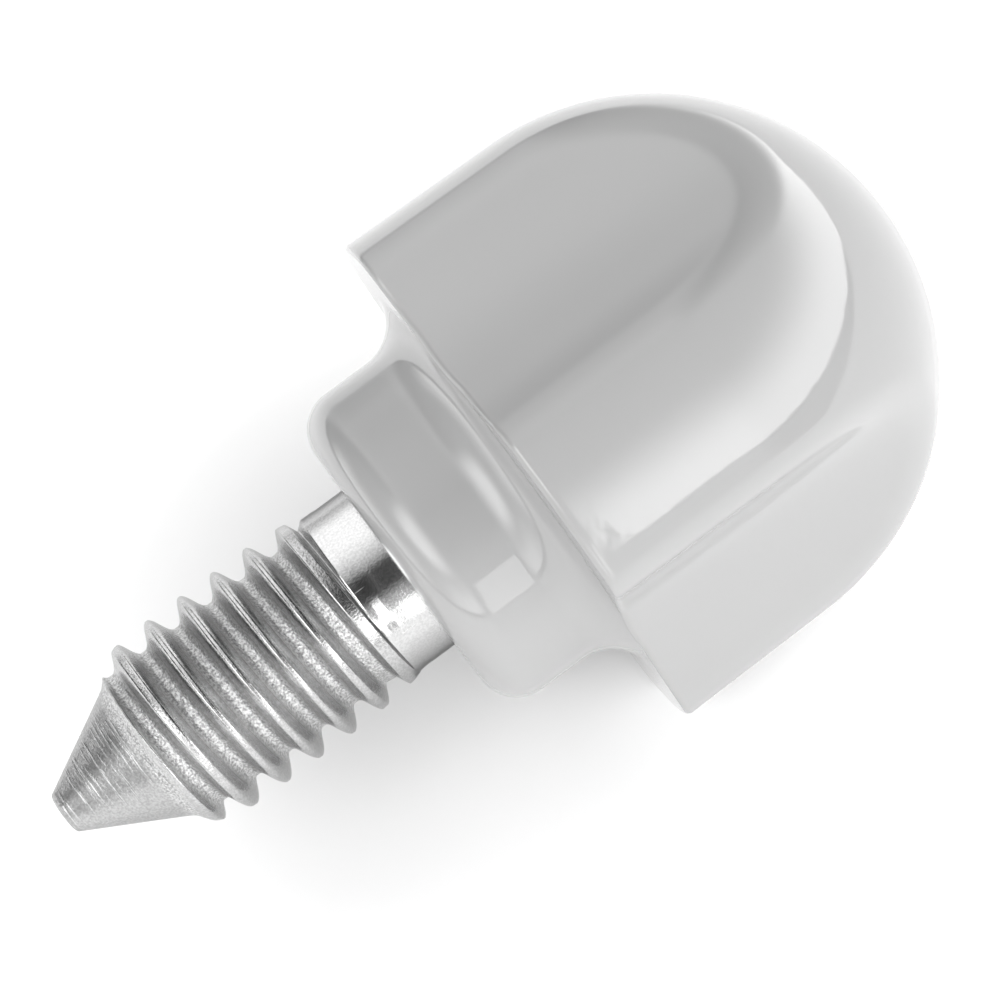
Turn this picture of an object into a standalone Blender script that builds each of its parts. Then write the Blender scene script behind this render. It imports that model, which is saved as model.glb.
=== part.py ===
"""Thumb screw: a domed plastic grip with four finger recesses, moulded over a pointed steel stud.

Metres. The screw lies level as it does in use: its axis is X, the flat of the point is at the
origin, the grip is at +X, and the four recesses face +Z, -Z, +Y and -Y.
"""

from math import acos, cos, pi, radians, sin, tan

import bmesh
import bpy
from mathutils import Matrix, Vector

MM = 0.001
GAP = 0.3 * MM  # clear space between the moulding and the steel it holds

# Stations along the axis, from the point
COLLAR_X = 12.6 * MM
RIM_X = 17 * MM
DOME_X = 22.31 * MM

# Grip
DOME_RADIUS = 8.83 * MM
RIM_RADIUS = 8.91 * MM  # the sides widen a little towards the open end, to leave the mould
COLLAR_RADIUS = 5.6 * MM
COLLAR_EDGE = 1.33 * MM
NECK_FILLET = 1.53 * MM
NECK_SINK = 0.03 * MM  # how far the neck's fillet is cut short by the underside

# Finger recesses: cylinders along the screw's axis, which stop short of the neck's fillet
RECESS_COUNT = 4
RECESS_RADIUS = 7.21 * MM
RECESS_OFFSET = 14.06 * MM  # from the screw's axis to the cylinder's

# Stud
POINT_RADIUS = 0.68 * MM
POINT_HALF_ANGLE = radians(28.4)
SHANK_RADIUS = 2.92 * MM
SHANK_X = 11.05 * MM
SHANK_CHAMFER = 0.3 * MM
CREST_RADIUS = 3.26 * MM
ROOT_RADIUS = 2.54 * MM
PITCH = 1.2373 * MM
CREST_FLAT = 0.13 * PITCH
ROOT_FLAT = 0.16 * PITCH
THREAD_START = 2.35 * MM
THREAD_TURNS = 7
CREST_PHASE = radians(34.6)  # where a crest passes THREAD_CREST_X, from +Y towards +Z
THREAD_CREST_X = 4.213 * MM

# The root of the stud, inside the grip
GROOVE_X = 14.4 * MM
GROOVE_WIDTH = 1.7 * MM
GROOVE_RADIUS = 2.2 * MM
KNURL_COUNT = 18
KNURL_RADIUS = 3.1 * MM
KNURL_DEPTH = 0.3 * MM
KNURL_END = 20.4 * MM
KNURL_CHAMFER = 0.4 * MM

TURN_STEPS = 64
THREAD_STEPS = 32


def clear_scene():
    for item in list(bpy.data.objects):
        bpy.data.objects.remove(item)


def new_collection(name):
    collection = bpy.data.collections.new(name)
    bpy.context.scene.collection.children.link(collection)
    return collection


def new_material(name, colour, roughness, metallic):
    material = bpy.data.materials.new(name)
    material.use_nodes = True
    shader = material.node_tree.nodes["Principled BSDF"]
    shader.inputs["Base Color"].default_value = (*colour, 1)
    shader.inputs["Roughness"].default_value = roughness
    shader.inputs["Metallic"].default_value = metallic
    return material


def add_object(name, mesh, collection, material=None):
    item = bpy.data.objects.new(name, mesh)
    collection.objects.link(item)
    if material:
        mesh.materials.append(material)
    return item


def make_cutter(item):
    item.hide_render = True
    item.display_type = "WIRE"
    return item


def arc(centre_x, centre_r, radius, start, end, steps):
    """Points (x, r) on an arc, with angles from the +X direction towards larger r."""
    angles = [start + (end - start) * step / steps for step in range(steps + 1)]
    return [(centre_x + radius * cos(a), centre_r + radius * sin(a)) for a in angles]


def turned(name, outline, collection, material=None):
    """A turned shape: the outline's (x, r) points run from +X to the point end on the outside."""
    mesh = bpy.data.meshes.new(name)
    points = [(x, 0, r) for x, r in outline]
    edges = [(i, i + 1) for i in range(len(points) - 1)]
    mesh.from_pydata(points, edges, [])
    item = add_object(name, mesh, collection, material)
    screw = item.modifiers.new("Turn", "SCREW")
    screw.axis = "X"
    screw.steps = TURN_STEPS
    screw.render_steps = TURN_STEPS
    screw.use_merge_vertices = True
    screw.merge_threshold = 0.000001
    screw.use_normal_calculate = True
    return item


def boolean(item, other, operation):
    modifier = item.modifiers.new(operation.title() + " " + other.name, "BOOLEAN")
    modifier.operation = operation
    modifier.solver = "EXACT"
    modifier.object = other


def grip_outline():
    """The grip's outside from the dome's top to the collar, then the pocket that holds the root."""
    dome = arc(DOME_X, 0, DOME_RADIUS, 0, pi / 2, 14)
    dome[0] = (DOME_X + DOME_RADIUS, 0)
    neck_x = RIM_X - NECK_FILLET + NECK_SINK
    neck_start = -acos((NECK_FILLET - NECK_SINK) / NECK_FILLET)
    neck_centre = COLLAR_RADIUS + NECK_FILLET
    neck = arc(neck_x, neck_centre, NECK_FILLET, neck_start, -pi / 2, 6)
    edge = arc(COLLAR_X + COLLAR_EDGE, COLLAR_RADIUS - COLLAR_EDGE, COLLAR_EDGE, pi / 2, pi, 6)
    bore = SHANK_RADIUS + GAP
    rib = GROOVE_RADIUS + GAP
    pocket = KNURL_RADIUS + GAP
    rib_start = GROOVE_X + GAP
    rib_end = GROOVE_X + GROOVE_WIDTH - GAP
    inside = [(COLLAR_X, bore), (rib_start, bore), (rib_start, rib), (rib_end, rib)]
    inside += [(rib_end, pocket), (KNURL_END + GAP, pocket), (KNURL_END + GAP, 0)]
    return dome + [(RIM_X, RIM_RADIUS)] + neck + edge + inside


def recess_cutter(number, collection):
    """A cylinder beside the grip, along its axis from the underside to past the dome."""
    mesh = bpy.data.meshes.new("recess_cutter")
    length = 20 * MM
    below_rim = 0.5 * MM
    shape = bmesh.new()
    bmesh.ops.create_cone(
        shape,
        cap_ends=True,
        segments=96,
        radius1=RECESS_RADIUS,
        radius2=RECESS_RADIUS,
        depth=length,
    )
    lie = Matrix.Rotation(pi / 2, 4, "Y")
    place = Matrix.Translation((RIM_X + length / 2 - below_rim, 0, RECESS_OFFSET))
    turn = Matrix.Rotation(2 * pi * number / RECESS_COUNT, 4, "X")
    bmesh.ops.transform(shape, matrix=turn @ place @ lie, verts=shape.verts)
    shape.to_mesh(mesh)
    shape.free()
    return make_cutter(add_object(f"recess_cutter_{number + 1}", mesh, collection))


def build_grip(parts, cutters, material):
    grip = turned("knob_head", grip_outline(), parts, material)
    for number in range(RECESS_COUNT):
        boolean(grip, recess_cutter(number, cutters), "DIFFERENCE")
    return grip


def stud_outline():
    """The steel from the end of its root to the point, with the thread's root as its width there."""
    groove_end = GROOVE_X + GROOVE_WIDTH
    cone_end = (ROOT_RADIUS - POINT_RADIUS) / tan(POINT_HALF_ANGLE)
    return [
        (KNURL_END, 0),
        (KNURL_END, KNURL_RADIUS - KNURL_CHAMFER),
        (KNURL_END - KNURL_CHAMFER, KNURL_RADIUS),
        (groove_end, KNURL_RADIUS),
        (groove_end, GROOVE_RADIUS),
        (GROOVE_X, GROOVE_RADIUS),
        (GROOVE_X, SHANK_RADIUS),
        (SHANK_X, SHANK_RADIUS),
        (SHANK_X - SHANK_CHAMFER, ROOT_RADIUS),
        (cone_end, ROOT_RADIUS),
        (0, POINT_RADIUS),
        (0, 0),
    ]


def thread_ridge(collection):
    """One right-hand helical ridge that stands on the thread's root, wound along X."""
    half_crest = CREST_FLAT / 2
    half_foot = (PITCH - ROOT_FLAT) / 2
    buried = 0.3 * MM
    slope = (half_foot - half_crest) / (CREST_RADIUS - ROOT_RADIUS)
    deep = half_foot + slope * 0.1 * MM
    section = [(-deep, -0.1 * MM), (-half_crest, CREST_RADIUS - ROOT_RADIUS)]
    section += [(half_crest, CREST_RADIUS - ROOT_RADIUS), (deep, -0.1 * MM)]
    section += [(deep * 0.5, -buried), (-deep * 0.5, -buried)]
    start_angle = CREST_PHASE + 2 * pi * (THREAD_START - THREAD_CREST_X) / PITCH
    place = Matrix.Rotation(start_angle, 4, "X")
    shape = bmesh.new()
    corners = []
    for x, height in section:
        point = place @ Vector((THREAD_START + x, ROOT_RADIUS + height, 0))
        corners.append(shape.verts.new(point))
    face = shape.faces.new(corners)
    steps = THREAD_STEPS * THREAD_TURNS
    bmesh.ops.spin(
        shape,
        geom=[face, *face.edges, *face.verts],
        axis=(1, 0, 0),
        cent=(0, 0, 0),
        dvec=(PITCH / THREAD_STEPS, 0, 0),
        angle=2 * pi * THREAD_TURNS,
        steps=steps,
    )
    bmesh.ops.recalc_face_normals(shape, faces=shape.faces)
    mesh = bpy.data.meshes.new("thread_ridge")
    shape.to_mesh(mesh)
    shape.free()
    return make_cutter(add_object("thread_ridge", mesh, collection))


def thread_envelope(collection):
    """The turned space that the finished stud stays inside: it points the first turns."""
    wide = 2 * CREST_RADIUS
    outline = [
        (KNURL_END + GAP, 0),
        (KNURL_END + GAP, wide),
        (SHANK_X, wide),
        (SHANK_X, SHANK_RADIUS + 0.01 * MM),
        (SHANK_X - 1.1 * MM, CREST_RADIUS + 0.01 * MM),
        (SHANK_X - 1.1 * MM, wide),
        ((wide - POINT_RADIUS) / tan(POINT_HALF_ANGLE), wide),
        (0, POINT_RADIUS + 0.0001 * MM),
        (0, 0),
    ]
    return make_cutter(turned("thread_envelope", outline, collection))


def knurl_cutter(collection):
    """A ring of V grooves along the root, which keep the moulding from turning on it."""
    shape = bmesh.new()
    start = GROOVE_X + GROOVE_WIDTH - GAP
    end = KNURL_END + GAP
    bottom = KNURL_RADIUS - KNURL_DEPTH
    top = KNURL_RADIUS + KNURL_DEPTH
    half = 0.55 * pi * KNURL_RADIUS / KNURL_COUNT
    wide = half * (top - bottom) / KNURL_DEPTH
    for number in range(KNURL_COUNT):
        turn = Matrix.Rotation(2 * pi * number / KNURL_COUNT, 4, "X")
        corners = [(start, 0, bottom), (start, wide, top), (start, -wide, top)]
        face = shape.faces.new([shape.verts.new(turn @ Vector(corner)) for corner in corners])
        grown = bmesh.ops.extrude_face_region(shape, geom=[face])
        moved = [item for item in grown["geom"] if isinstance(item, bmesh.types.BMVert)]
        bmesh.ops.translate(shape, verts=moved, vec=(end - start, 0, 0))
    bmesh.ops.recalc_face_normals(shape, faces=shape.faces)
    mesh = bpy.data.meshes.new("knurl_cutter")
    shape.to_mesh(mesh)
    shape.free()
    return make_cutter(add_object("knurl_cutter", mesh, collection))


def build_stud(parts, cutters, material):
    stud = turned("threaded_stud", stud_outline(), parts, material)
    boolean(stud, thread_ridge(cutters), "UNION")
    boolean(stud, thread_envelope(cutters), "INTERSECT")
    boolean(stud, knurl_cutter(cutters), "DIFFERENCE")
    return stud


def main():
    clear_scene()
    parts = new_collection("Thumb screw")
    cutters = new_collection("Cutters")
    plastic = new_material("grip_plastic", (0.72, 0.72, 0.72), 0.18, 0)
    steel = new_material("zinc_plated_steel", (0.66, 0.66, 0.65), 0.28, 1)
    build_grip(parts, cutters, plastic)
    build_stud(parts, cutters, steel)


main()
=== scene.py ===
from math import acos, cos, pi, radians, sin, tan

import bmesh
import bpy
import numpy as np
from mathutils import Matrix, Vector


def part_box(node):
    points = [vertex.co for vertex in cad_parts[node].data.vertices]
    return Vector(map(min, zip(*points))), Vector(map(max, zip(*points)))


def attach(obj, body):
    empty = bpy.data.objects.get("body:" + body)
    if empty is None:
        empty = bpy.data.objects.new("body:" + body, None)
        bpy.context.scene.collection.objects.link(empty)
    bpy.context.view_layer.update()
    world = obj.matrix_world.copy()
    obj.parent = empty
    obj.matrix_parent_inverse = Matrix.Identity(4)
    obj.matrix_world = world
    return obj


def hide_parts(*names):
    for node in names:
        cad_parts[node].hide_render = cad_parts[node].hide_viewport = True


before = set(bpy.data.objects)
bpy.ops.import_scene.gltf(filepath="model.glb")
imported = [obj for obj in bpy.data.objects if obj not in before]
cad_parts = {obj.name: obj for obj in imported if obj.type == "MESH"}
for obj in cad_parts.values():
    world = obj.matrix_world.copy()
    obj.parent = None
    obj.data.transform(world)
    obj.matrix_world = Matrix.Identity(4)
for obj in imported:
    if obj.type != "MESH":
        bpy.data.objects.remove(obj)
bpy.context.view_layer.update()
mm = 0.001
sliver = 0.001  # millimetres, room for rounding where points are picked by their place
scene = bpy.context.scene


# a profile's point is its x along the axis and its distance from the axis, in millimetres
def arcPoints(centreX, centreAcross, radius, start, end, steps):  # angles from +X
    turns = [start + (end - start) * step / steps for step in range(steps + 1)]
    return [(centreX + radius * cos(turn), centreAcross + radius * sin(turn)) for turn in turns]


def linePoints(first, last, steps):  # the points after first, up to last
    shares = [step / steps for step in range(1, steps + 1)]
    stepX = last[0] - first[0]
    stepAcross = last[1] - first[1]
    return [(first[0] + stepX * share, first[1] + stepAcross * share) for share in shares]


def spinProfile(name, points, steps):  # a closed mesh round the X axis
    shape = bmesh.new()
    corners = [shape.verts.new((x * mm, across * mm, 0)) for x, across in points]
    for first, second in zip(corners, corners[1:]):
        shape.edges.new((first, second))
    geometry = shape.verts[:] + shape.edges[:]
    bmesh.ops.spin(
        shape, geom=geometry, axis=(1, 0, 0), cent=(0, 0, 0), angle=2 * pi, steps=steps, use_merge=True
    )
    bmesh.ops.remove_doubles(shape, verts=shape.verts, dist=0.0001 * mm)
    bmesh.ops.recalc_face_normals(shape, faces=shape.faces)
    mesh = bpy.data.meshes.new(name)
    shape.to_mesh(mesh)
    shape.free()
    mesh.shade_smooth()
    piece = bpy.data.objects.new(name, mesh)
    scene.collection.objects.link(piece)
    return piece


def readPoints(mesh):  # an array of (x, y, z) in millimetres
    flat = np.empty(len(mesh.vertices) * 3, np.float32)
    mesh.vertices.foreach_get("co", flat)
    return flat.reshape(-1, 3).astype(float) / mm


def writePoints(mesh, points):
    mesh.vertices.foreach_set("co", (points * mm).astype(np.float32).ravel())
    mesh.update()


def smoothMax(first, second, blend):  # rounds the corner where two curves cross
    return (first + second + np.sqrt((first - second) ** 2 + blend**2)) / 2


def smoothMin(first, second, blend):
    return -smoothMax(-first, -second, blend)


def addNode(tree, kind, inputs=None, **settings):  # inputs: sockets by name or number
    node = tree.nodes.new(kind)
    for key, value in settings.items():
        setattr(node, key, value)
    for key, value in (inputs or {}).items():
        socket = node.inputs[key]
        if isinstance(value, bpy.types.NodeSocket):
            tree.links.new(value, socket)
        else:
            socket.default_value = value
    return node


def mathNode(tree, operation, *values):
    inputs = dict(enumerate(values))
    return addNode(tree, "ShaderNodeMath", inputs, operation=operation).outputs[0]


def rampBetween(tree, value, low, high, fromZero=0.0, toOne=1.0):  # a smooth step
    inputs = {"Value": value, "From Min": low, "From Max": high, "To Min": fromZero, "To Max": toOne}
    return addNode(tree, "ShaderNodeMapRange", inputs, interpolation_type="SMOOTHSTEP").outputs["Result"]


def bandBetween(tree, value, low, lowFull, highFull, high):  # one inside the band, soft at both ends
    rising = rampBetween(tree, value, low, lowFull)
    falling = rampBetween(tree, value, high, highFull)
    return mathNode(tree, "MULTIPLY", rising, falling)


def grey(value):
    return (value, value, value, 1)


def mixColours(tree, share, first, last):
    inputs = {0: share, 6: first, 7: last}
    return addNode(tree, "ShaderNodeMix", inputs, data_type="RGBA").outputs[2]


# the grip: a dome with four finger recesses, a neck and a collar
grip = {  # millimetres, x counted from the stud's tip
    "domeRadius": 8.83,
    "rimX": 17.0,
    "rimRadius": 8.91,
    "rimEdge": 0.2,
    "recessRadius": 7.215,
    "recessOffset": 14.057,
    "recessLip": 0.58,
    "searchRange": (4.0, 10.0),  # the surface lies this far out along a ray
    "halvings": 40,
    "neckStart": 15.5,
    "neckFillet": 1.53,
    "neckOffset": 7.14,
    "neckReach": 0.9,  # how far inside neckOffset the underside starts to follow the outline
    "collarRadius": 5.61,
    "collarEdge": 1.35,
    "boreRadius": 2.96,
    "boreEdge": 0.07,
    "boreGap": 0.1,  # past the end of the stud
    "steps": 400,  # round the axis
    "profileSteps": {
        "dome": 92, "side": 34, "rimEdge": 6, "underside": 12, "neck": 12,
        "collar": 6, "collarEdge": 14, "face": 5, "boreEdge": 3, "bore": 8,
    },
}
rimInner = grip["neckOffset"] - grip["neckReach"]
rimFlat = grip["rimRadius"] - grip["rimEdge"]
rimTop = grip["rimX"] + grip["rimEdge"]


def neckX(radius):  # the underside's x at a radius: the neck's fillet, then flat
    inside = np.clip(grip["neckOffset"] - radius, 0, grip["neckFillet"])
    curve = grip["neckStart"] + np.sqrt(grip["neckFillet"] ** 2 - inside**2)
    return np.minimum(curve, grip["rimX"])


def gripInside(points, domeX):  # below zero inside the grip with its four recesses
    x, y, z = points.T
    across = np.hypot(y, z)
    draft = (grip["rimRadius"] - grip["domeRadius"]) / (domeX - grip["rimX"])
    wall = across - grip["domeRadius"] - draft * (domeX - x)
    dome = np.sqrt(across**2 + (x - domeX) ** 2) - grip["domeRadius"]
    outside = np.where(x < domeX, wall, dome)
    larger = np.maximum(abs(y), abs(z))
    smaller = np.minimum(abs(y), abs(z))
    recess = grip["recessRadius"] - np.hypot(grip["recessOffset"] - larger, smaller)
    lip = grip["recessLip"]
    corner = np.hypot(np.maximum(lip + outside, 0), np.maximum(lip + recess, 0))
    return np.minimum(-lip, np.maximum(outside, recess)) + corner


def reachSurface(centres, directions, domeX):  # how far along each ray the surface is
    nearest, farthest = grip["searchRange"]
    low = np.full(len(centres), nearest)
    high = np.full(len(centres), farthest)
    for _ in range(grip["halvings"]):
        middle = (low + high) / 2
        inside = gripInside(centres + directions * middle[:, None], domeX) < 0
        low = np.where(inside, middle, low)
        high = np.where(inside, high, middle)
    return (low + high) / 2


def gripProfile(topX, collarX, rootEnd):
    steps = grip["profileSteps"]
    domeX = topX - grip["domeRadius"]
    points = arcPoints(domeX, 0, grip["domeRadius"], 0, pi / 2, steps["dome"])
    points[0] = (topX, 0)
    points += linePoints(points[-1], (rimTop, grip["rimRadius"]), steps["side"])
    points += arcPoints(rimTop, rimFlat, grip["rimEdge"], pi / 2, pi, steps["rimEdge"])[1:]
    points += linePoints(points[-1], (grip["rimX"], rimInner), steps["underside"])
    fillet = grip["neckFillet"]
    start = -acos((neckX(rimInner) - grip["neckStart"]) / fillet)
    points += arcPoints(grip["neckStart"], grip["neckOffset"], fillet, start, -pi / 2, steps["neck"])[1:]
    radius = grip["collarRadius"]
    edge = grip["collarEdge"]
    points += linePoints(points[-1], (collarX + edge, radius), steps["collar"])
    points += arcPoints(collarX + edge, radius - edge, edge, pi / 2, pi, steps["collarEdge"])[1:]
    bore = grip["boreRadius"]
    edge = grip["boreEdge"]
    points += linePoints(points[-1], (collarX, bore + edge), steps["face"])
    points += arcPoints(collarX + edge, bore + edge, edge, -pi, -pi / 2, steps["boreEdge"])[1:]
    return points + linePoints(points[-1], (rootEnd, bore), steps["bore"]) + [(rootEnd, 0)]


def makeGrip():
    low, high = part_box("knob_head")
    topX = high.x / mm
    collarX = low.x / mm
    domeX = topX - grip["domeRadius"]
    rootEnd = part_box("threaded_stud")[1].x / mm + grip["boreGap"]
    piece = spinProfile("grip", gripProfile(topX, collarX, rootEnd), grip["steps"])
    points = readPoints(piece.data)
    across = np.hypot(points[:, 1], points[:, 2])
    turn = np.arctan2(points[:, 2], points[:, 1])
    outward = np.stack([np.zeros_like(turn), np.cos(turn), np.sin(turn)], axis=1)

    # dome and sides: each point slides along its own ray, and the bore stays as it is
    x = points[:, 0]
    onDome = x > domeX
    outer = onDome | ((x > rimTop - sliver) & (across > grip["collarRadius"]))
    centres = np.stack([np.minimum(x, domeX), 0 * turn, 0 * turn], axis=1)
    rays = np.where(onDome[:, None], (points - centres) / grip["domeRadius"], outward)
    moved = centres + rays * reachSurface(centres, rays, domeX)[:, None]

    # the rim's edge and the underside follow the outline at the foot of the sides
    foot = np.stack([0 * turn + rimTop, 0 * turn, 0 * turn], axis=1)
    outline = reachSurface(foot, outward, domeX) - grip["rimEdge"]
    under = (x < rimTop - sliver) & (x > grip["rimX"] - sliver) & (across > rimInner - sliver)
    share = np.clip((across - rimInner) / (rimFlat - rimInner), 0, 1)
    newAcross = rimInner + share * (outline - rimInner)
    lowered = outward * (newAcross + np.maximum(across - rimFlat, 0))[:, None]
    lowered[:, 0] = neckX(newAcross) + x - grip["rimX"]
    points = np.where(outer[:, None], moved, np.where(under[:, None], lowered, points))
    writePoints(piece.data, points)
    return piece


# the stud: a cone, a rolled thread and a plain shank
stud = {  # millimetres, x counted from the tip
    "tipRadius": 0.68,
    "tipEdge": 0.05,
    "tipRound": (0.3, 0.2),  # shares of tipEdge
    "tipAngle": 28.4,  # degrees, between the cone and the axis
    "shankRadius": 2.93,
    "shankX": 11.6,
    "rootRadius": 2.54,
    "crestRadius": 3.27,
    "pitch": 1.2373,
    "crestX": 4.213,  # where a crest passes crestTurn, in degrees round the axis
    "crestTurn": 34.6,
    "crestWidth": 0.05,  # widths are shares of the pitch
    "rootWidth": 0.14,
    "roundness": 0.5,
    "lapDepth": 0.02,
    "lapWidth": 0.022,
    "blend": 0.02,
    # the ceiling lifts the first turn off the cone and lowers the last one into the shank
    "coneEnd": 2.95,
    "ceiling": [
        (2.95, 2.275), (3.1, 2.365), (3.2, 2.44), (3.3, 2.55), (3.5, 2.82), (3.6, 2.92),
        (3.8, 3.02), (4.2, 3.18), (4.9, 3.24), (5.6, 3.28), (9.2, 3.28), (9.8, 3.2),
        (10.4, 3.16), (11.0, 3.06), (11.35, 2.96), (11.6, 2.93),
    ],
    # the floor is the thread's root, then the chamfered end of the shank
    "floor": [(9.6, 2.54), (10.3, 2.62), (10.75, 2.68), (11.05, 2.95), (11.3, 2.95), (11.6, 2.93)],
    "profileStart": (2.9, 2.2),  # from here the thread is cut
    "grooveStart": 14.4,
    "grooveEnd": 16.1,
    "grooveRadius": 2.2,
    "rootBody": 2.8,
    "rootChamfer": 0.4,
    "steps": 240,  # round the axis
    "profileSteps": {"face": 6, "cone": 30, "thread": 290, "shank": 14},
}


def threadRadius(x, turn):
    cone = stud["tipRadius"] + x * tan(radians(stud["tipAngle"]))
    along = (x - stud["crestX"]) / stud["pitch"] - (turn - radians(stud["crestTurn"])) / (2 * pi)
    away = abs((along + 0.5) % 1 - 0.5)
    slope = 0.5 - stud["crestWidth"] / 2 - stud["rootWidth"] / 2
    rise = 1 - np.clip((away - stud["crestWidth"] / 2) / slope, 0, 1)
    rise = rise - stud["roundness"] * np.sin(2 * pi * rise) / (2 * pi)
    height = stud["crestRadius"] - stud["rootRadius"]
    lap = stud["lapDepth"] * np.exp(-((away / stud["lapWidth"]) ** 2))
    ridge = stud["rootRadius"] + height * rise - lap
    ceiling = np.where(x < stud["coneEnd"], cone, np.interp(x, *zip(*stud["ceiling"])))
    floor = np.minimum(np.interp(x, *zip(*stud["floor"])), cone)
    return smoothMin(ceiling, smoothMax(floor, ridge, stud["blend"]), stud["blend"])


def studProfile(rootEnd):
    steps = stud["profileSteps"]
    edge = stud["tipEdge"]
    shank = stud["shankRadius"]
    roundX, roundAcross = stud["tipRound"]
    coneStart = (edge, stud["tipRadius"] + edge * tan(radians(stud["tipAngle"])))
    points = [(0, 0)] + linePoints((0, 0), (0, stud["tipRadius"] - edge), steps["face"])
    points += [(edge * roundX, stud["tipRadius"] - edge * roundAcross), coneStart]
    points += linePoints(coneStart, stud["profileStart"], steps["cone"])
    points += linePoints(points[-1], (stud["shankX"], shank), steps["thread"])
    points += linePoints(points[-1], (stud["grooveStart"], shank), steps["shank"])
    # the root inside the grip: a groove, then a plain chamfered end
    groove = stud["grooveRadius"]
    body = stud["rootBody"]
    chamfer = stud["rootChamfer"]
    points += [(stud["grooveStart"], groove), (stud["grooveEnd"], groove), (stud["grooveEnd"], body)]
    return points + [(rootEnd - chamfer, body), (rootEnd, body - chamfer), (rootEnd, 0)]


def makeStud():
    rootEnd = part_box("threaded_stud")[1].x / mm
    piece = spinProfile("stud", studProfile(rootEnd), stud["steps"])
    points = readPoints(piece.data)
    x, y, z = points.T
    across = np.hypot(y, z)
    turn = np.arctan2(z, y)
    worked = (x > stud["tipEdge"] - sliver) & (x < stud["shankX"] + sliver)
    radius = np.where(worked, threadRadius(x, turn), across)
    points[:, 1] = radius * np.cos(turn)
    points[:, 2] = radius * np.sin(turn)
    writePoints(piece.data, points)
    return piece


def newMaterial(name):
    material = bpy.data.materials.new(name)
    material.use_nodes = True
    tree = material.node_tree
    shader = tree.nodes["Principled BSDF"]
    coordinates = addNode(tree, "ShaderNodeTexCoord").outputs["Object"]
    return material, tree, shader, coordinates


def noise(tree, vector, scale, detail):
    inputs = {"Vector": vector, "Scale": scale, "Detail": detail}
    return addNode(tree, "ShaderNodeTexNoise", inputs).outputs["Fac"]


plastic = {
    "colour": 0.345,
    "unevenness": 0.02,
    "roughness": (0.04, 0.065),
    "ior": 1.5,
    "rippleDepth": 0.02,  # millimetres
    "rippleStrength": 0.25,
    "cloud": (180.0, 3.0),  # noises: scale per metre, detail
    "wear": (900.0, 4.0),
    "wearRange": (0.3, 0.7),
    "ripple": (1200.0, 2.0),
}


def plasticMaterial():
    material, tree, shader, coordinates = newMaterial("glossPlastic")
    shader.inputs["IOR"].default_value = plastic["ior"]
    cloud = noise(tree, coordinates, *plastic["cloud"])
    light = plastic["colour"] * (1 + plastic["unevenness"])
    dark = plastic["colour"] * (1 - plastic["unevenness"])
    tree.links.new(mixColours(tree, cloud, grey(dark), grey(light)), shader.inputs["Base Color"])
    wear = noise(tree, coordinates, *plastic["wear"])
    rough = rampBetween(tree, wear, *plastic["wearRange"], *plastic["roughness"])
    tree.links.new(rough, shader.inputs["Roughness"])
    ripple = {
        "Height": noise(tree, coordinates, *plastic["ripple"]),
        "Strength": plastic["rippleStrength"],
        "Distance": plastic["rippleDepth"] * mm,
    }
    bump = addNode(tree, "ShaderNodeBump", ripple)
    tree.links.new(bump.outputs["Normal"], shader.inputs["Normal"])
    return material


steel = {
    "colour": 0.52,
    # painted shade: the flanks' colour is darker than the shank's, standing in for the dark reflections
    # on them
    "flankPaintedShadeColour": 0.46,
    "edgeTint": 0.8,
    "shankEdgeTint": 0.35,
    "shankSpeckle": 0.07,
    "speckle": 0.13,
    "rootSpeckle": 0.4,
    # painted shade: the whole cone is darkened, standing in for the shadowed floor it reflects
    "conePaintedShade": 0.14,
    "shankRoughness": 0.15,
    "flankRoughness": 0.27,
    "rootRoughness": 0.38,
    "coneRoughness": 0.34,
    "grainDepth": 0.01,  # depths in millimetres
    "shankGrainDepth": 0.0035,
    "sparkleDepth": 0.04,
    "markDepth": 0.012,
    "scratchDepth": 0.003,
    "coneBlend": (3.3, 2.9),  # where each stretch begins and is full, in millimetres
    "shankBlend": (10.95, 11.15),
    "rootBlend": (2.8, 2.58),
    "grain": (13000.0, 2.0),  # noises: scale per metre, detail
    "grainRange": (0.32, 0.68),
    "sparkle": (20000.0, 2.0),
    "marks": ((10000.0, 420.0, 420.0), 3.0),
    "markRange": (0.5, 0.75),
    "scratches": ((350.0, 13000.0, 13000.0), 2.0),
    "scratchRange": (0.66, 0.78),
}


def stretchedNoise(tree, coordinates, scale, detail):
    stretched = addNode(tree, "ShaderNodeMapping", {"Vector": coordinates, "Scale": scale})
    return noise(tree, stretched.outputs[0], 1.0, detail)


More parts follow.
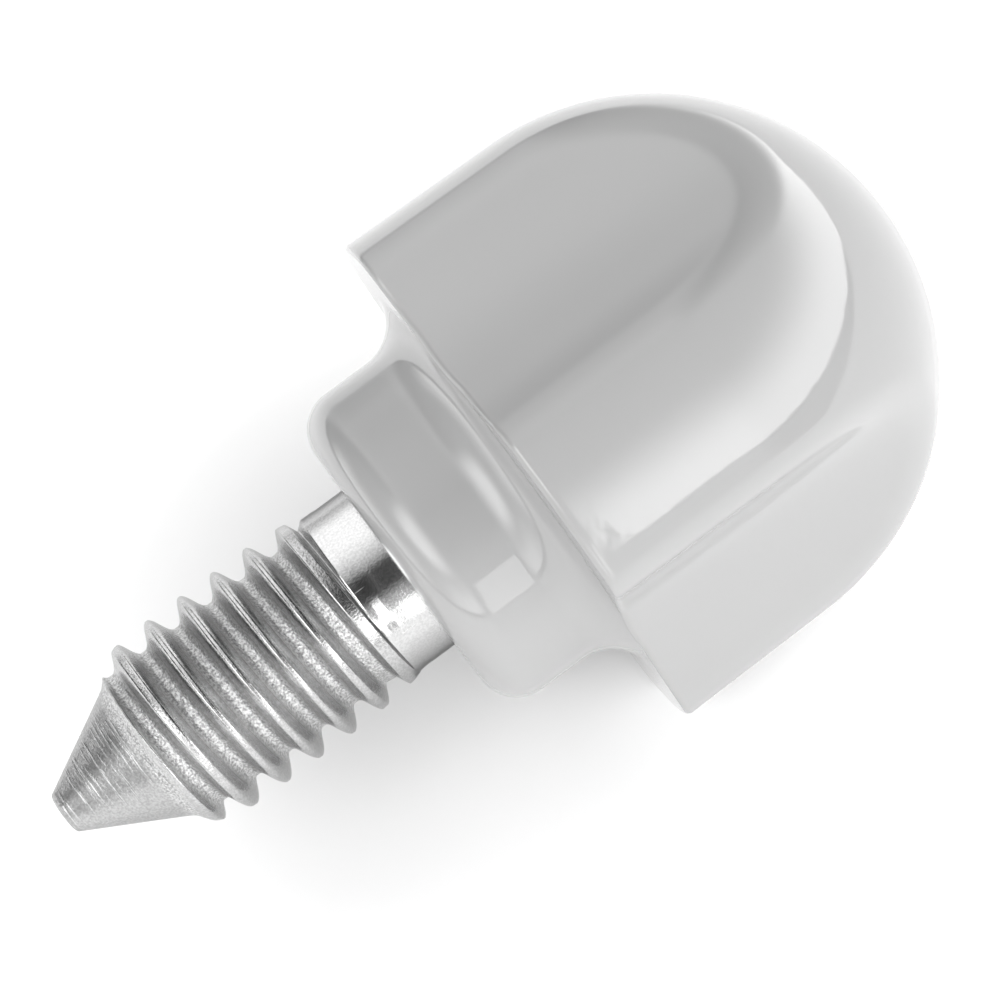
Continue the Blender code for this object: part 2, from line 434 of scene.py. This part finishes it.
def steelMaterial():
    material, tree, shader, coordinates = newMaterial("zincPlatedSteel")
    shader.inputs["Metallic"].default_value = 1

    def times(first, second):
        return mathNode(tree, "MULTIPLY", first, second)

    def add(first, second, total):  # first times second, plus total
        return mathNode(tree, "MULTIPLY_ADD", first, second, total)

    def stretch(value, ends):
        return rampBetween(tree, value, ends[0] * mm, ends[1] * mm)

    # the stretches of the stud: cone, thread with its roots, shank
    along, side, up = addNode(tree, "ShaderNodeSeparateXYZ", {0: coordinates}).outputs[:3]
    across = mathNode(tree, "SQRT", add(side, side, times(up, up)))
    onCone = stretch(along, steel["coneBlend"])
    onShank = stretch(along, steel["shankBlend"])
    offShank = mathNode(tree, "SUBTRACT", 1.0, onShank)
    onThread = mathNode(tree, "SUBTRACT", offShank, onCone)
    inRoots = times(onThread, stretch(across, steel["rootBlend"]))

    # plating grain all over, sparkle pressed into the thread's roots
    grain = noise(tree, coordinates, *steel["grain"])
    grainDepth = steel["grainDepth"] * mm
    depth = add(onShank, steel["shankGrainDepth"] * mm - grainDepth, grainDepth)
    height = times(grain, depth)
    sparkle = noise(tree, coordinates, *steel["sparkle"])
    height = add(times(sparkle, inRoots), steel["sparkleDepth"] * mm, height)

    # turning marks round the cone, a few drawn scratches along the shank
    marks = rampBetween(tree, stretchedNoise(tree, coordinates, *steel["marks"]), *steel["markRange"])
    height = add(times(marks, onCone), steel["markDepth"] * mm, height)
    lines = stretchedNoise(tree, coordinates, *steel["scratches"])
    scratches = rampBetween(tree, lines, *steel["scratchRange"])
    height = add(times(scratches, onShank), -steel["scratchDepth"] * mm, height)
    bump = addNode(tree, "ShaderNodeBump", {"Height": height, "Strength": 1.0, "Distance": 1.0})
    tree.links.new(bump.outputs["Normal"], shader.inputs["Normal"])

    # the rolled flanks and the turned cone are duller than the shank, with rougher surfaces and a darker
    # colour that is painted shade for the dark reflections on them, and all of it is speckled
    paintedShadeShare = mathNode(tree, "SUBTRACT", offShank, inRoots)
    toneWithPaintedShade = mixColours(tree, paintedShadeShare, grey(steel["colour"]), grey(steel["flankPaintedShadeColour"]))
    spread = add(inRoots, steel["rootSpeckle"] - steel["speckle"], steel["speckle"])
    spread = add(onShank, steel["shankSpeckle"] - steel["speckle"], spread)
    speck = rampBetween(tree, grain, *steel["grainRange"], -1.0, 1.0)
    shade = add(speck, spread, 1.0)
    # painted shade: the cone is made darker
    shade = add(onCone, -steel["conePaintedShade"], shade)
    speckled = addNode(tree, "ShaderNodeVectorMath", {0: toneWithPaintedShade, "Scale": shade}, operation="SCALE")
    tree.links.new(speckled.outputs[0], shader.inputs["Base Color"])
    edge = mixColours(tree, onShank, grey(steel["edgeTint"]), grey(steel["shankEdgeTint"]))
    tree.links.new(edge, shader.inputs["Specular Tint"])

    rough = times(onShank, steel["shankRoughness"])
    rough = add(onCone, steel["coneRoughness"], rough)
    rough = add(onThread, steel["flankRoughness"], rough)
    rough = add(inRoots, steel["rootRoughness"] - steel["flankRoughness"], rough)
    tree.links.new(rough, shader.inputs["Roughness"])
    return material


studio = {
    "floorRadius": 150.0,  # millimetres
    "floorColour": 0.83,
    "floorRoughness": 0.9,
    "floorSpecular": 0.1,
    "paintedFloorGlow": 0.65,  # painted light: the floor glows though it is no lamp, rising with the distance from the centre on the next line between the two distances after it, so a painted shadow lies round that centre under the stud
    "paintedShadowCentre": (12.0, 3.0),  # millimetres, as are the next two
    "paintedGlowStart": 8.0,
    "paintedGlowFull": 26.0,
    # angle from the front over the top to the back, and how bright the gap between the walls is
    "slot": [
        (-180, 0.7), (-90, 0.4), (-20, 0.7), (20, 0.6), (30, 0.45), (38, 0.25), (44, 0.05), (72, 0.05),
        (79, 0.4), (92, 0.8), (104, 1.1), (115, 1.25), (155, 1.25), (169, 0.8), (180, 0.6),
    ],
    "slotGlow": 1.5,
    "slotSides": (0.15, 0.38),  # the gap's soft ends, as the direction's x
    "rightEdge": (0.088, 0.195, 0.977),  # the direction square to the wall's tilted lower edge
}
# each light: how bright it is, its band in degrees round the floor, and its band in height
lights = {  # 0 degrees at the grip's end, 90 at the front, 180 at the tip
    "rightWall": (5.5, (-75, -20, 83.7, 84.7), (-0.01, 0.01, 0.12, 0.57)),
    "leftWall": (3.6, (92, 108, 112, 165), (-0.01, 0.01, 0.1, 0.5)),
    "backWall": (2.8, (150, 180, 220, 240), (-0.01, 0.01, 0.05, 0.45)),
    "frontPanel": (3.0, (86.3, 86.7, 90.8, 91.2), (-0.13, -0.11, 0.31, 0.34)),
}
leftLamp = {  # soft, overhead on the left
    "glow": 5.8,
    "alongScrew": (-0.9, -0.65, -0.55, -0.08),
    "towardsBack": (0.15, -0.25),
    "height": (0.35, 0.65),
}


def makeFloor(height):
    shape = bmesh.new()
    bmesh.ops.create_circle(shape, cap_ends=True, segments=96, radius=studio["floorRadius"] * mm)
    bmesh.ops.translate(shape, verts=shape.verts, vec=(0, 0, height))
    mesh = bpy.data.meshes.new("floor")
    shape.to_mesh(mesh)
    shape.free()
    floor = bpy.data.objects.new("floor", mesh)
    scene.collection.objects.link(floor)
    material, tree, shader, coordinates = newMaterial("paleSweepWithPaintedGlow")
    shader.inputs["Base Color"].default_value = grey(studio["floorColour"])
    shader.inputs["Roughness"].default_value = studio["floorRoughness"]
    shader.inputs["Specular IOR Level"].default_value = studio["floorSpecular"]
    shader.inputs["Emission Color"].default_value = grey(1)
    # painted light: the floor glows more away from this centre, which leaves a painted shadow round it
    centre = (studio["paintedShadowCentre"][0] * mm, studio["paintedShadowCentre"][1] * mm, 0)
    away = addNode(tree, "ShaderNodeVectorMath", {0: coordinates, 1: centre}, operation="DISTANCE")
    start = studio["paintedGlowStart"] * mm
    full = studio["paintedGlowFull"] * mm
    glow = rampBetween(tree, away.outputs["Value"], start, full, 0.0, studio["paintedFloorGlow"])
    tree.links.new(glow, shader.inputs["Emission Strength"])

    # clear from below, so that the underside can be looked at
    clear = addNode(tree, "ShaderNodeBsdfTransparent").outputs[0]
    backface = addNode(tree, "ShaderNodeNewGeometry").outputs["Backfacing"]
    mixed = addNode(tree, "ShaderNodeMixShader", {0: backface, 1: shader.outputs[0], 2: clear})
    tree.links.new(mixed.outputs[0], tree.nodes["Material Output"].inputs["Surface"])
    mesh.materials.append(material)
    return floor


def slotLight(tree, x, toFront, z):  # the light in the gap between the walls, round the screw's axis
    turn = mathNode(tree, "ARCTAN2", z, toFront)
    share = mathNode(tree, "MULTIPLY_ADD", turn, 1 / (2 * pi), 0.5)
    ramp = addNode(tree, "ShaderNodeValToRGB", {0: share})
    stops = ramp.color_ramp.elements
    while len(stops) < len(studio["slot"]):
        stops.new(0.5)
    brightest = 2.0  # the ramp holds shares of this, because its colours end at one
    for stop, (angle, glow) in zip(stops, studio["slot"]):
        stop.position = (angle + 180) / 360
        stop.color = grey(glow / brightest)
    slot = mathNode(tree, "MULTIPLY", ramp.outputs[0], brightest * studio["slotGlow"])
    aside = rampBetween(tree, mathNode(tree, "ABSOLUTE", x), *studio["slotSides"])
    return mathNode(tree, "MULTIPLY", slot, mathNode(tree, "SUBTRACT", 1.0, aside))


def makeWorld():
    world = bpy.data.worlds.new("studio")
    world.use_nodes = True
    scene.world = world
    tree = world.node_tree
    direction = addNode(tree, "ShaderNodeTexCoord").outputs["Generated"]
    x, y, z = addNode(tree, "ShaderNodeSeparateXYZ", {0: direction}).outputs[:3]
    toFront = mathNode(tree, "MULTIPLY", y, -1.0)
    total = slotLight(tree, x, toFront, z)

    # degrees round the floor, from -120 to 240
    around = mathNode(tree, "MULTIPLY", mathNode(tree, "ARCTAN2", toFront, x), 180 / pi)
    around = mathNode(tree, "WRAP", around, 240.0, -120.0)
    edgeX, edgeY, edgeZ = studio["rightEdge"]
    tilted = mathNode(tree, "MULTIPLY_ADD", x, edgeX, mathNode(tree, "MULTIPLY", y, edgeY))
    tilted = mathNode(tree, "MULTIPLY_ADD", z, edgeZ, tilted)
    for name, (glow, sides, heights) in lights.items():
        height = tilted if name == "rightWall" else z
        light = bandBetween(tree, around, *sides)
        light = mathNode(tree, "MULTIPLY", light, bandBetween(tree, height, *heights))
        total = mathNode(tree, "MULTIPLY_ADD", light, glow, total)
    lamp = bandBetween(tree, x, *leftLamp["alongScrew"])
    lamp = mathNode(tree, "MULTIPLY", lamp, rampBetween(tree, y, *leftLamp["towardsBack"]))
    lamp = mathNode(tree, "MULTIPLY", lamp, rampBetween(tree, z, *leftLamp["height"]))
    total = mathNode(tree, "MULTIPLY_ADD", lamp, leftLamp["glow"], total)

    background = tree.nodes["Background"]
    background.inputs["Color"].default_value = grey(1)
    tree.links.new(total, background.inputs["Strength"])


view = {
    "lens": 104.1,
    "sensor": 36,
    "place": (12.253, -50.5, 72.914),  # millimetres, as are nearest and farthest
    "turn": (34.587, -2.646, -36.419),  # degrees
    "nearest": 1,
    "farthest": 10000,
}


def makeCamera():
    data = bpy.data.cameras.new("camera")
    data.lens = view["lens"]
    data.sensor_width = view["sensor"]
    data.clip_start = view["nearest"] * mm
    data.clip_end = view["farthest"] * mm
    camera = bpy.data.objects.new("camera", data)
    scene.collection.objects.link(camera)
    camera.rotation_mode = "ZYX"
    camera.rotation_euler = [radians(angle) for angle in view["turn"]]
    camera.location = [distance * mm for distance in view["place"]]
    scene.camera = camera


gripPiece = makeGrip()
gripPiece.data.materials.append(plasticMaterial())
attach(gripPiece, "root")
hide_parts("knob_head")
print("grip:", len(gripPiece.data.polygons), "faces")

studPiece = makeStud()
studPiece.data.materials.append(steelMaterial())
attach(studPiece, "root")
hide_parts("threaded_stud")
print("stud:", len(studPiece.data.polygons), "faces")

lowest = readPoints(gripPiece.data)[:, 2].min()
floorPiece = makeFloor(lowest * mm)
makeWorld()
makeCamera()
scene.view_settings.view_transform = "Standard"
print("floor, light and camera are in place")
